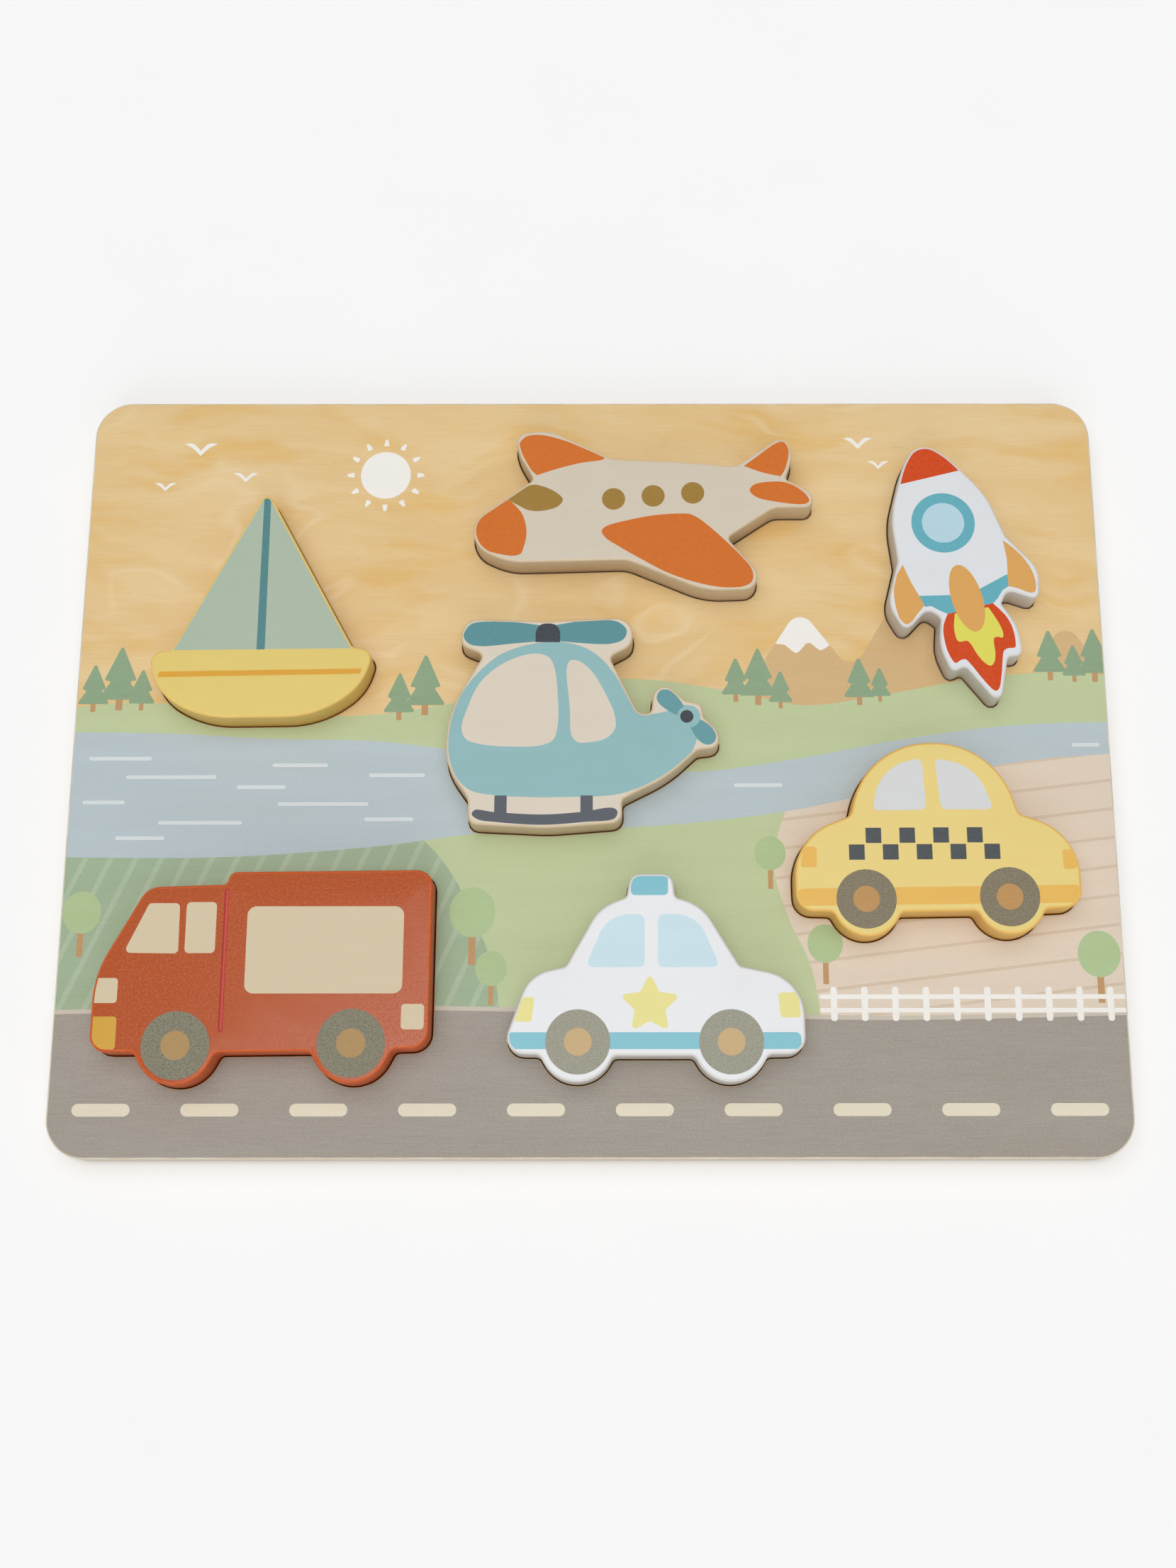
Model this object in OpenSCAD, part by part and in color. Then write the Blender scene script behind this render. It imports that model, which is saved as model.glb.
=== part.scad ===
// Wooden tray puzzle: a printed board with seven cut-outs, glued on a backing board,
// and seven thick vehicle pieces that stand loose in the cut-outs and lift straight out.
// The origin is on the underside, in the middle of the board. +X is right, +Y is away, +Z is up.

/* [Board] */
// Width of the board
board_w = 300; // [285:1:360]
// Depth of the board
board_d = 225; // [215:1:270]
// Radius of the board's corners
board_corner_r = 11; // [4:0.5:18]
// Thickness of the backing board that closes the cut-outs
backing_t = 3; // [2:0.1:5]
// Thickness of the printed board with the cut-outs
tray_t = 6; // [4:0.1:8]

/* [Puzzle pieces] */
// Thickness of every puzzle piece
piece_t = 15; // [10:0.5:20]
// Gap all round between a piece and its cut-out
recess_gap = 0.35; // [0.3:0.05:1.1]
// Radius of the rounded top edge of a piece
edge_r = 0.7; // [0.4:0.1:1.6]
// Small bevel round the foot of a piece
foot_bevel = 0.4; // [0.2:0.1:0.8]
// Painted border that runs round each printed wheel
wheel_border = 1.5; // [1:0.1:2.2]

/* [Sailboat] */
// Width of the sailboat
boat_w = 64.6; // [60:0.2:68]
// Height of the sailboat
boat_h = 68; // [62:0.5:72]
// Turn of the sailboat on the board, in degrees
boat_turn = 0.8; // [-4:0.2:4]

/* [Aeroplane] */
// Width of the aeroplane
plane_w = 100; // [92:0.5:105]
// Height of the aeroplane
plane_h = 50; // [46:0.5:53]
// Turn of the aeroplane on the board, in degrees
plane_turn = 0; // [-3:0.2:3]

/* [Rocket] */
// Width of the rocket over its fins
rocket_w = 44.8; // [42:0.2:48]
// Height of the rocket from flame to nose
rocket_h = 80.4; // [74:0.2:84]
// Lean of the rocket on the board, in degrees
rocket_turn = 14; // [8:0.5:18]

/* [Helicopter] */
// Width of the helicopter
heli_w = 77.8; // [72:0.2:82]
// Height of the helicopter
heli_h = 62.6; // [58:0.2:66]
// Turn of the helicopter on the board, in degrees
heli_turn = 0; // [-3:0.2:3]

/* [Van] */
// Width of the van
van_w = 93; // [86:0.5:97]
// Height of the van
van_h = 59; // [54:0.5:62]
// Radius of the van's printed wheels
van_wheel_r = 9.4; // [8:0.1:10]
// Turn of the van on the board, in degrees
van_turn = 0.6; // [-3:0.2:3]
// Width of the groove carved between the cab and the load box
groove_w = 1.3; // [0.8:0.1:2]

/* [Police car] */
// Width of the police car
police_w = 82; // [76:0.5:86]
// Height of the police car
police_h = 57.5; // [53:0.5:61]
// Radius of the police car's printed wheels
police_wheel_r = 9.1; // [8:0.1:10]
// Turn of the police car on the board, in degrees
police_turn = 0; // [-3:0.2:3]

/* [Taxi] */
// Width of the taxi
taxi_w = 80; // [74:0.5:83]
// Height of the taxi
taxi_h = 55.5; // [51:0.5:58]
// Radius of the taxi's printed wheels
taxi_wheel_r = 8.4; // [7.4:0.1:9.4]
// Turn of the taxi on the board, in degrees
taxi_turn = 0.8; // [-3:0.2:3]

/* [Hidden] */
$fn = 64;
// Longest chord along a rounded corner, and the fewest chords that a corner takes
chord = 1.5;
least_chords = 3;
// Steps of the rounded top edge
edge_steps = 3;
// Angle below the axle at which the round of a wheel starts
wheel_lean = 28;
// Radius of the hollow where a wheel meets the floor, as a share of the wheel's own radius
hollow_r_share = 0.19;
// Rise of a car's floor outside its wheels, as a share of the car's height
floor_rise_share = 0.006;
// Share of a side that the roundings at its two ends may use up together
side_use_share = 0.97;
// Smallest radius that a rounded corner keeps when its outline is moved in or out
least_r = 0.1;

// Middle of each piece, as shares of the board's width and depth from its centre
boat_place_shares = [-0.317, 0.199];
plane_place_shares = [0.05, 0.329];
rocket_place_shares = [0.3565, 0.245];
heli_place_shares = [-0.0083, 0.0427];
van_place_shares = [-0.3015, -0.2821];
police_place_shares = [0.0595, -0.282];
taxi_place_shares = [0.323, -0.1087];

// Corners of the outlines: x as a share of the piece's width from its middle line, y as a share
// of its height from its foot, and the corner's radius as a share of its height. They run
// anticlockwise. A table of half shares holds the right half, and the left half mirrors it.
boat_shares = [
    [-0.262, 0, 0.43],         // front turn of the bilge
    [0.246, 0, 0.43],          // back turn of the bilge
    [0.449, 0.131, 0.25],      // back side of the hull
    [0.503, 0.29, 0.047],      // back end of the deck
    [0.404, 0.305, 0.03],      // back foot of the sail
    [0, 1.03, 0.0285],         // tip of the sail
    [-0.404, 0.305, 0.03],     // front foot of the sail
    [-0.503, 0.29, 0.047],     // front end of the deck
    [-0.468, 0.119, 0.23]      // front side of the hull
];

plane_shares = [
    [-0.39, 0.174, 0.38],      // chin
    [-0.046, 0.192, 0.2],      // front root of the lower wing
    [0.18, 0, 0.5],            // front edge of the lower wing
    [0.3215, 0.01, 0.08],      // tip of the lower wing
    [0.339, 0.112, 0.084],
    [0.246, 0.33, 0.028],      // back root of the lower wing
    [0.386, 0.518, 0.12],      // root of the tailplane
    [0.506, 0.518, 0.048],     // tip of the tailplane
    [0.4975, 0.616, 0.08],
    [0.42, 0.698, 0.026],      // back root of the fin
    [0.447, 0.85, 0.18],       // back edge of the fin
    [0.421, 0.984, 0.058],     // tip of the fin
    [0.276, 0.78, 0.1],        // front root of the fin
    [0.1, 0.811, 1.5],         // back of the fuselage
    [-0.092, 0.828, 0.12],     // back root of the upper wing
    [-0.275, 1.01, 0.24],      // tip of the upper wing
    [-0.38, 0.988, 0.064],
    [-0.364, 0.85, 0.3],       // front edge of the upper wing
    [-0.321, 0.696, 0.026],    // front root of the upper wing
    [-0.502, 0.432, 0.14],     // nose
    [-0.488, 0.262, 0.17]
];

rocket_foot_shares = [[0, -0.03, 0.025]];
rocket_half_shares = [
    [0.143, 0.146, 0.0175],    // notch in the flame
    [0.239, 0.133, 0.024],     // side tongue of the flame
    [0.268, 0.2425, 0.175],    // side of the flame
    [0.205, 0.343, 0.0175],    // root of the flame
    [0.268, 0.387, 0.0275],    // arch under the fin
    [0.453, 0.32, 0.026],      // foot of the fin
    [0.512, 0.439, 0.11],      // side of the fin
    [0.366, 0.59, 0.05],       // root of the fin
    [0.328, 0.76, 0.34],       // side of the body
    [0.154, 0.94, 0.31]        // shoulder of the nose
];
rocket_top_shares = [[0, 1.03, 0.07]];

heli_shares = [
    [-0.414, 0.018, 0.042],    // front of the skid
    [-0.122, 0, 0.95],         // foot of the skid
    [0.148, 0.027, 0.048],     // back of the skid
    [0.144, 0.134, 0.032],     // root of the skid
    [0.315, 0.241, 0.64],      // belly of the tail
    [0.423, 0.366, 0.048],     // root of the lower tail blade
    [0.506, 0.377, 0.045],     // tip of the lower tail blade
    [0.499, 0.458, 0.096],
    [0.447, 0.518, 0.024],     // tail hub
    [0.437, 0.585, 0.035],
    [0.377, 0.6, 0.024],
    [0.307, 0.68, 0.048],      // tip of the upper tail blade
    [0.26, 0.644, 0.056],
    [0.252, 0.532, 0.0256],    // dip behind the cabin
    [0.204, 0.543, 0.04],
    [0.099, 0.808, 0.026],     // root of the back rotor blade
    [0.185, 0.864, 0.064],     // tip of the back rotor blade
    [0.189, 1.003, 0.08],
    [-0.132, 0.982, 0.9],      // top of the rotor
    [-0.454, 0.995, 0.08],     // tip of the front rotor blade
    [-0.451, 0.8626, 0.048],
    [-0.366, 0.82, 0.024],     // root of the front rotor blade
    [-0.499, 0.538, 0.5],      // windscreen
    [-0.499, 0.289, 0.27],     // chin
    [-0.415, 0.14, 0.064]      // root of the skid
];

van_floor_share = 0.149;
van_axle_shares = [-0.25, 0.267];
van_body_shares = [
    [0.495, 0.157, 0.085],     // back corner of the floor
    [0.503, 1, 0.077],         // back corner of the roof
    [-0.105, 1, 0.038],        // front corner of the load box
    [-0.117, 0.94, 0.022],     // step down to the cab
    [-0.353, 0.932, 0.1],      // top of the windscreen
    [-0.5, 0.516, 0.5],        // foot of the windscreen
    [-0.503, 0.157, 0.077]     // front corner of the floor
];
groove_x_share = -0.117;
groove_y_shares = [0.235, 0.915];

police_floor_share = 0.12;
police_axle_shares = [-0.262, 0.253];
police_body_shares = [
    [0.503, 0.13, 0.08],       // back corner of the floor
    [0.5, 0.487, 0.217],       // boot
    [0.286, 0.55, 0.035],      // foot of the rear window
    [0.16, 0.849, 0.226],      // back of the roof
    [0.07, 0.885, 0.026],      // back of the lamp
    [0.062, 1, 0.052],
    [-0.081, 1, 0.052],        // front of the lamp
    [-0.096, 0.885, 0.026],
    [-0.187, 0.838, 0.209],    // front of the roof
    [-0.302, 0.546, 0.035],    // foot of the windscreen
    [-0.423, 0.511, 0.174],    // bonnet
    [-0.52, 0.13, 0.08]        // front corner of the floor
];

taxi_floor_share = 0.122;
taxi_axle_shares = [-0.25, 0.25];
taxi_body_shares = [
    [0.5, 0.135, 0.09],        // back corner of the floor
    [0.5, 0.515, 0.3],         // boot
    [0.297, 0.62, 0.045],      // foot of the rear window
    [0.228, 1, 0.424],         // dome of the roof
    [-0.228, 1, 0.424],
    [-0.297, 0.62, 0.045],     // foot of the windscreen
    [-0.5, 0.515, 0.3],        // bonnet
    [-0.5, 0.135, 0.09]        // front corner of the floor
];

van_bump_r = van_wheel_r + wheel_border;
police_bump_r = police_wheel_r + wheel_border;
taxi_bump_r = taxi_wheel_r + wheel_border;
boat_corners = sized(boat_shares, boat_w, boat_h);
plane_corners = sized(plane_shares, plane_w, plane_h);
rocket_corners = mirrored(rocket_half_shares, rocket_foot_shares, rocket_top_shares, rocket_w, rocket_h);
heli_corners = sized(heli_shares, heli_w, heli_h);
van_corners = car(van_body_shares, van_axle_shares, van_floor_share, van_bump_r, van_w, van_h);
police_corners =
    car(police_body_shares, police_axle_shares, police_floor_share, police_bump_r, police_w, police_h);
taxi_corners = car(taxi_body_shares, taxi_axle_shares, taxi_floor_share, taxi_bump_r, taxi_w, taxi_h);

// Corners in millimetres from a table of shares
function sized(shares, w, h) = [for (s = shares) [s.x * w, s.y * h, s.z * h]];

// Corners of a piece whose left half mirrors its right half, with its foot and top between them
function mirrored(half, foot, top, w, h) =
    let (last = len(half) - 1)
    sized(concat(foot, half, top, [for (i = [last : -1 : 0]) [-half[i].x, half[i].y, half[i].z]]), w, h);

// Foot, round and foot of a wheel that stands out below the floor of a car, with the floor's
// height before and after it
function wheel_bump(x, r, before_y, after_y) =
    let (tip_y = r - r / sin(wheel_lean), hollow_r = r * hollow_r_share, lean = tan(wheel_lean))
    [[x - (before_y - tip_y) * lean, before_y, hollow_r],
     [x, tip_y, r],
     [x + (after_y - tip_y) * lean, after_y, hollow_r]];

// Corners of a car: its two wheels along the floor, which rises a little outside them, then its body
function car(body, axles, floor_share, r, w, h) =
    let (sill_y = floor_share * h, end_y = (floor_share + floor_rise_share) * h)
    concat(
        wheel_bump(axles[0] * w, r, end_y, sill_y),
        wheel_bump(axles[1] * w, r, sill_y, end_y),
        sized(body, w, h)
    );

function flat(p) = [p.x, p.y];
function unit(v) = v / norm(v);
function angle_between(u, v) = atan2(u.x * v.y - u.y * v.x, u * v);

// Turn at corner i, the run of its rounding along each side, and the part of that run that fits
function corner_turn(c, i) =
    let (n = len(c), p = flat(c[i]))
    angle_between(p - flat(c[(i + n - 1) % n]), flat(c[(i + 1) % n]) - p);
function run(c, i) = c[i].z * tan(abs(corner_turn(c, i)) / 2);
function side_fit(c, i) =
    let (j = (i + 1) % len(c), side = norm(flat(c[j]) - flat(c[i])))
    min(1, side_use_share * side / (run(c, i) + run(c, j)));
function fit(c, i) = min(side_fit(c, i), side_fit(c, (i + len(c) - 1) % len(c)));

// Points of the rounding at corner i of an outline that is moved outwards by grow
function rounding(c, i, grow) =
    let (n = len(c), p = flat(c[i]), u = unit(p - flat(c[(i + n - 1) % n])),
         turn = corner_turn(c, i), side = sign(turn), r = c[i].z * fit(c, i),
         middle = p - u * run(c, i) * fit(c, i) + side * r * [-u.y, u.x],
         start = atan2(u.y, u.x) - side * 90,
         steps = max(least_chords, ceil(abs(turn) * PI / 180 * r / chord)),
         reach = max(least_r, r + side * grow))
    [for (k = [0 : steps]) middle + reach * [cos(start + turn * k / steps), sin(start + turn * k / steps)]];

// Points of a closed outline with all its corners rounded, moved outwards by grow
function outline(c, grow = 0) = [for (i = [0 : len(c) - 1]) each rounding(c, i, grow)];

// Twice the area of a triangle, positive where it runs anticlockwise
function twice_area(a, b, c) = (b.x - a.x) * (c.y - a.y) - (b.y - a.y) * (c.x - a.x);
function holds(a, b, c, p) = min(twice_area(a, b, p), twice_area(b, c, p), twice_area(c, a, p)) >= 0;

// Three neighbours in the list left, and whether their triangle can be cut off the outline
function neighbours(left, i) =
    let (n = len(left))
    [left[(i + n - 1) % n], left[i], left[(i + 1) % n]];
function is_ear(points, t, left) =
    let (a = points[t[0]], b = points[t[1]], c = points[t[2]])
    twice_area(a, b, c) > 0
    && len([for (k = left) if (k != t[0] && k != t[1] && k != t[2] && holds(a, b, c, points[k])) k]) == 0;

// Triangles that fill an outline, cut off it one by one
function filled(points, left, i = 0, done = []) =
    let (n = len(left), here = i % n, t = neighbours(left, here))
    n == 3 ? concat(done, [left]) :
    is_ear(points, t, left)
        ? filled(points, [for (k = [0 : n - 1]) if (k != here) left[k]], here + 1, concat(done, [t]))
        : filled(points, left, here + 1, done);

// How far in from the outline, and how high, each ring of a piece lies
function edge_rings() = concat(
    [[foot_bevel, 0], [0, foot_bevel]],
    [for (k = [0 : edge_steps]) let (a = 90 * k / edge_steps)
        [edge_r * (1 - cos(a)), piece_t - edge_r + edge_r * sin(a)]]
);

// A piece's place on the board, taken from the middle of its foot
module placed(place_shares, turn, h) {
    translate([board_w * place_shares.x, board_d * place_shares.y])
        rotate(turn)
            translate([0, -h / 2])
                children();
}

// A piece with its outline's wall, a bevelled foot and a rounded top edge
module slab(corners) {
    rings = edge_rings();
    n = len(outline(corners));
    last = len(rings) - 1;
    points = [for (ring = rings) each
        [for (p = outline(corners, -ring.x)) [p.x, p.y, backing_t + ring.y]]];
    order = [for (i = [0 : n - 1]) i];
    foot = filled(outline(corners, -foot_bevel), order);
    top = [for (t = filled(outline(corners, -edge_r), order))
        [last * n + t[2], last * n + t[1], last * n + t[0]]];
    wall = [for (k = [0 : last - 1], i = [0 : n - 1])
        let (a = k * n + i, b = k * n + (i + 1) % n)
        each [[a, a + n, b], [b, a + n, b + n]]];
    polyhedron(points, concat(foot, wall, top));
}

module board_outline() {
    square([board_w - 2 * board_corner_r, board_d], center = true);
    square([board_w, board_d - 2 * board_corner_r], center = true);
    for (x = [-1, 1], y = [-1, 1])
        translate([x * (board_w / 2 - board_corner_r), y * (board_d / 2 - board_corner_r)])
            circle(board_corner_r);
}

// The seven cut-outs, each its piece's outline moved out by the gap
module recesses() {
    placed(boat_place_shares, boat_turn, boat_h) polygon(outline(boat_corners, recess_gap));
    placed(plane_place_shares, plane_turn, plane_h) polygon(outline(plane_corners, recess_gap));
    placed(rocket_place_shares, rocket_turn, rocket_h) polygon(outline(rocket_corners, recess_gap));
    placed(heli_place_shares, heli_turn, heli_h) polygon(outline(heli_corners, recess_gap));
    placed(van_place_shares, van_turn, van_h) polygon(outline(van_corners, recess_gap));
    placed(police_place_shares, police_turn, police_h) polygon(outline(police_corners, recess_gap));
    placed(taxi_place_shares, taxi_turn, taxi_h) polygon(outline(taxi_corners, recess_gap));
}

module backing_board() {
    color("#D9C49A")
        linear_extrude(backing_t)
            board_outline();
}

module tray_board() {
    color("#D8BD8C")
        translate([0, 0, backing_t])
            linear_extrude(tray_t)
                difference() {
                    board_outline();
                    recesses();
                }
}

module sailboat() {
    color("#E0CB77")
        placed(boat_place_shares, boat_turn, boat_h)
            slab(boat_corners);
}

module aeroplane() {
    color("#CFC5B6")
        placed(plane_place_shares, plane_turn, plane_h)
            slab(plane_corners);
}

module rocket() {
    color("#E8E6E2")
        placed(rocket_place_shares, rocket_turn, rocket_h)
            slab(rocket_corners);
}

module helicopter() {
    color("#8DBABC")
        placed(heli_place_shares, heli_turn, heli_h)
            slab(heli_corners);
}

// Round-bottomed groove between the van's cab and its load box
module groove() {
    translate([groove_x_share * van_w, groove_y_shares[0] * van_h, backing_t + piece_t])
        rotate([-90, 0, 0])
            cylinder(h = (groove_y_shares[1] - groove_y_shares[0]) * van_h, d = groove_w);
}

module van() {
    color("#B85F3A")
        placed(van_place_shares, van_turn, van_h)
            difference() {
                slab(van_corners);
                groove();
            }
}

module police_car() {
    color("#F0EEEA")
        placed(police_place_shares, police_turn, police_h)
            slab(police_corners);
}

module taxi() {
    color("#E4CF7F")
        placed(taxi_place_shares, taxi_turn, taxi_h)
            slab(taxi_corners);
}

backing_board();
tray_board();
sailboat();
aeroplane();
rocket();
helicopter();
van();
police_car();
taxi();
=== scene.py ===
import math

import bmesh
import bpy
import numpy as np
from mathutils import Matrix, Vector
from mathutils.geometry import delaunay_2d_cdt


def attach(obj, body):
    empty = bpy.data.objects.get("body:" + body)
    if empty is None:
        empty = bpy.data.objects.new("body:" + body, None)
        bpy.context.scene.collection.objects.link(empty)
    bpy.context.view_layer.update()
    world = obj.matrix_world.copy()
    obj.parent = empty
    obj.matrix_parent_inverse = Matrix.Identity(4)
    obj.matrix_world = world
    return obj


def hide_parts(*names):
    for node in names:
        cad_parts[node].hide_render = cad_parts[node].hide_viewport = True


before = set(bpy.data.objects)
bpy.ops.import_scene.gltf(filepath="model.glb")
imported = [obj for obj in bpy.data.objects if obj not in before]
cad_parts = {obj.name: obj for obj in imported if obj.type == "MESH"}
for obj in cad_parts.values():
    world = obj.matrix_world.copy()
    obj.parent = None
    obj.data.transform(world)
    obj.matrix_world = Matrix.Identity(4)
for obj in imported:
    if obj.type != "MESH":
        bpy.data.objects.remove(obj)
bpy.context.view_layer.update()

# Backing board
# A thin sheet of plain plywood that closes the cut-outs from below, glued under the printed board.
# Its faces are bare sanded veneer. Its edge shows the plies, and its sharp corners are sanded off.
mm = 0.001
backing_top = 3.0
backing_break = 0.5


def wall_outlines(node):
    """The closed outlines in mm along which the upright walls of a CAD node end, and their height.
    The wood lies on the left of each outline, and the widest comes first."""
    weld = 0.002 * mm
    least_wall = 2
    least_side = 0.12
    bm = bmesh.new()
    bm.from_mesh(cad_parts[node].data)
    bmesh.ops.remove_doubles(bm, verts=bm.verts, dist=weld)
    bm.verts.index_update()
    place = {v.index: np.array((v.co.x, v.co.y)) / mm for v in bm.verts}
    heights = [[v.co.z / mm for v in face.verts] for face in bm.faces]
    walls = [face for face, z in zip(bm.faces, heights) if max(z) - min(z) > least_wall]
    top = max(v.co.z for face in walls for v in face.verts) / mm
    after = {}
    for face in walls:
        for corner in face.loops:
            start = corner.vert
            end = corner.link_loop_next.vert
            if min(start.co.z, end.co.z) > (top - 0.01) * mm:
                after[start.index] = end.index
    bm.free()
    outlines = []
    while after:
        first, at = after.popitem()
        walk = [place[first]]
        while at != first:
            if np.hypot(*(place[at] - walk[-1])) > least_side:
                walk.append(place[at])
            at = after.pop(at)
        outlines.append(np.array(walk[::-1]))
    outlines.sort(key=lambda line: -np.ptp(line[:, 0]))
    return outlines, top


def moved_in(outline, depth):
    """The outline moved into the wood by depth. A side too short for it shrinks to a point."""
    sharpest = 0.4
    most_rounds = 60
    side = np.roll(outline, -1, 0) - outline
    side /= np.hypot(side[:, 0], side[:, 1])[:, None]
    inward = np.column_stack((-side[:, 1], side[:, 0]))
    before = np.roll(inward, 1, 0)
    spread = np.maximum(1 + (inward * before).sum(1), sharpest)
    moved = outline + depth * (inward + before) / spread[:, None]
    for _ in range(most_rounds):
        turned = ((np.roll(moved, -1, 0) - moved) * side).sum(1) < -1e-9
        if not turned.any():
            break
        for i in np.flatnonzero(turned):
            j = (i + 1) % len(moved)
            middle = (moved[i] + moved[j]) / 2
            moved[i] = middle
            moved[j] = middle
    return moved


def within(spots, lines):
    """Which spots lie inside an odd number of the closed lines."""
    odd = np.zeros(len(spots), bool)
    for line in lines:
        for (ax, ay), (bx, by) in zip(line, np.roll(line, -1, 0)):
            if ay == by:
                continue
            level = (ay > spots[:, 1]) != (by > spots[:, 1])
            odd ^= level & (spots[:, 0] < ax + (spots[:, 1] - ay) * (bx - ax) / (by - ay))
    return odd


def flat_face(outlines, prints):
    """A flat face between outlines, cut along the edge of every print. It gives the face's points, its
    triangles, the number of the print on each triangle (-1 for none), and the points on each side of
    every outline."""
    lines = list(outlines)
    for _, loops, _ in prints:
        lines.extend(loops)
    points = []
    edges = []
    for line in lines:
        first = len(points)
        points.extend(Vector(p) for p in line)
        edges.extend((first + i, first + (i + 1) % len(line)) for i in range(len(line)))
    same_place = 1e-4
    filled = delaunay_2d_cdt(points, edges, [], 0, same_place, True)
    spots, sides, triangles, old_points, old_edges, _ = filled
    spots = np.array([tuple(p) for p in spots])
    triangles = np.array(triangles)
    a, b, c = (spots[triangles[:, k]] for k in range(3))
    area = (b[:, 0] - a[:, 0]) * (c[:, 1] - a[:, 1]) - (b[:, 1] - a[:, 1]) * (c[:, 0] - a[:, 0])
    triangles[area < 0] = triangles[area < 0][:, ::-1]
    kept = within((a + b + c) / 3, outlines) & (abs(area) > 1e-9)
    triangles = triangles[kept]
    centres = spots[triangles].mean(1)
    on = np.full(len(triangles), -1)
    for number, (_, loops, only_in) in enumerate(prints):
        covered = np.zeros(len(centres), bool)
        for loop in loops:
            covered |= within(centres, [loop])
        for limit in only_in:
            covered &= within(centres, [limit])
        on[covered] = number
    now = {old: new for new, olds in enumerate(old_points) for old in olds}
    along = {}
    for side, olds in zip(sides, old_edges):
        for old in olds:
            along.setdefault(old, set()).update(side)
    rims = []
    first = 0
    for outline in outlines:
        rim = []
        for i in range(len(outline)):
            start = now[first + i]
            end = now[first + (i + 1) % len(outline)]
            between = along.get(first + i, set()) - {start, end}
            rim.append([start, *sorted(between, key=lambda k: np.hypot(*(spots[k] - outline[i])))])
        rims.append(rim)
        first += len(outline)
    return spots, triangles, on, rims


def slab(
    name, outlines, profile, under, edge, face,
    prints=(), hollows=(), hole_profile=None, hole_edge=None,
):
    """A slab of wood on its outlines. The profile gives the depth of the edge at each height, from the
    underside up. Prints are (paint, outlines, areas they stay in), the later ones over the earlier
    ones. Hollows are (outline, profile down from the face, paint). Cut-outs may have a profile and
    paint of their own."""
    paints = [under, edge, face]
    profiles = [profile] + [hole_profile or profile] * (len(outlines) - 1)
    places = []
    faces = []
    looks = []

    def number_of(paint):
        if paint not in paints:
            paints.append(paint)
        return paints.index(paint)

    def add_flat(lines, z, drawn, plain, upward):
        spots, triangles, on, rims = flat_face(lines, drawn)
        first = len(places)
        places.extend((x, y, z) for x, y in spots)
        numbers = [number_of(paint) for paint, _, _ in drawn] + [plain]
        for triangle, which in zip(triangles, on):
            turn = triangle if upward else triangle[::-1]
            faces.append([first + k for k in turn])
            looks.append((numbers[which], False))
        return [[[first + k for k in row] for row in rim] for rim in rims]

    def add_ring(line, z):
        first = len(places)
        places.extend((x, y, z) for x, y in line)
        return [[first + i] for i in range(len(line))]

    def add_strip(low, high, paint):
        for i in range(len(low)):
            j = (i + 1) % len(low)
            corners = [*low[i], low[j][0], high[j][0], *high[i][:0:-1], high[i][0]]
            faces.append(list(dict.fromkeys(corners)))
            looks.append((paint, True))

    low_lines = [moved_in(line, steps[0][0]) for line, steps in zip(outlines, profiles)]
    lowest = add_flat(low_lines, profile[0][1], [], 0, False)
    top_lines = [moved_in(line, steps[-1][0]) for line, steps in zip(outlines, profiles)]
    highest = add_flat(top_lines + [line for line, _, _ in hollows], profile[-1][1], prints, 2, True)
    for k, outline in enumerate(outlines):
        number = number_of(hole_edge) if k and hole_edge else 1
        between = [add_ring(moved_in(outline, d), h) for d, h in profiles[k][1:-1]]
        rings = [lowest[k], *between, highest[k]]
        for a, b in zip(rings, rings[1:]):
            add_strip(a, b, number)
    for (line, steps, paint), high in zip(hollows, highest[len(outlines):]):
        number = number_of(paint)
        for d, h in steps:
            low = add_ring(moved_in(line[::-1], d)[::-1], h)
            add_strip(low, high, number)
            high = low
        faces.append([row[0] for row in high[::-1]])
        looks.append((number, True))

    mesh = bpy.data.meshes.new(name)
    mesh.from_pydata([(x * mm, y * mm, z * mm) for x, y, z in places], [], faces)
    for paint in paints:
        mesh.materials.append(paint)
    mesh.polygons.foreach_set("material_index", [number for number, _ in looks])
    mesh.polygons.foreach_set("use_smooth", [curved for _, curved in looks])
    bm = bmesh.new()
    bm.from_mesh(mesh)
    bmesh.ops.delete(bm, geom=[v for v in bm.verts if not v.link_faces], context="VERTS")
    weld = 0.0005 * mm
    bmesh.ops.remove_doubles(bm, verts=bm.verts, dist=weld)
    bmesh.ops.dissolve_degenerate(bm, edges=bm.edges, dist=weld)
    bm.to_mesh(mesh)
    bm.free()
    crease = math.radians(40)
    mesh.set_sharp_from_angle(angle=crease)
    piece = bpy.data.objects.new(name, mesh)
    bpy.context.scene.collection.objects.link(piece)
    return piece


def rounded_rim(r, z, steps):
    """Depths and heights of a quarter-round edge of radius r that ends on the face at height z."""
    turns = [math.pi / 2 * k / steps for k in range(steps + 1)]
    return [(r * (1 - math.cos(t)), z - r + r * math.sin(t)) for t in turns]


def rgb(code):
    """A colour written RRGGBB, in the scale that shaders count in."""
    parts = [int(code[i:i + 2], 16) / 255 for i in (0, 2, 4)]
    return (*(p / 12.92 if p < 0.04045 else ((p + 0.055) / 1.055) ** 2.4 for p in parts), 1)


def put(tree, kind, inputs, **settings):
    """Adds a shader node. Each input is a plain value or the output of another node."""
    made = tree.nodes.new("ShaderNode" + kind)
    for key, value in settings.items():
        setattr(made, key, value)
    for key, value in inputs.items():
        if isinstance(value, bpy.types.NodeSocket):
            tree.links.new(value, made.inputs[key])
        else:
            made.inputs[key].default_value = value
    return made


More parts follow.
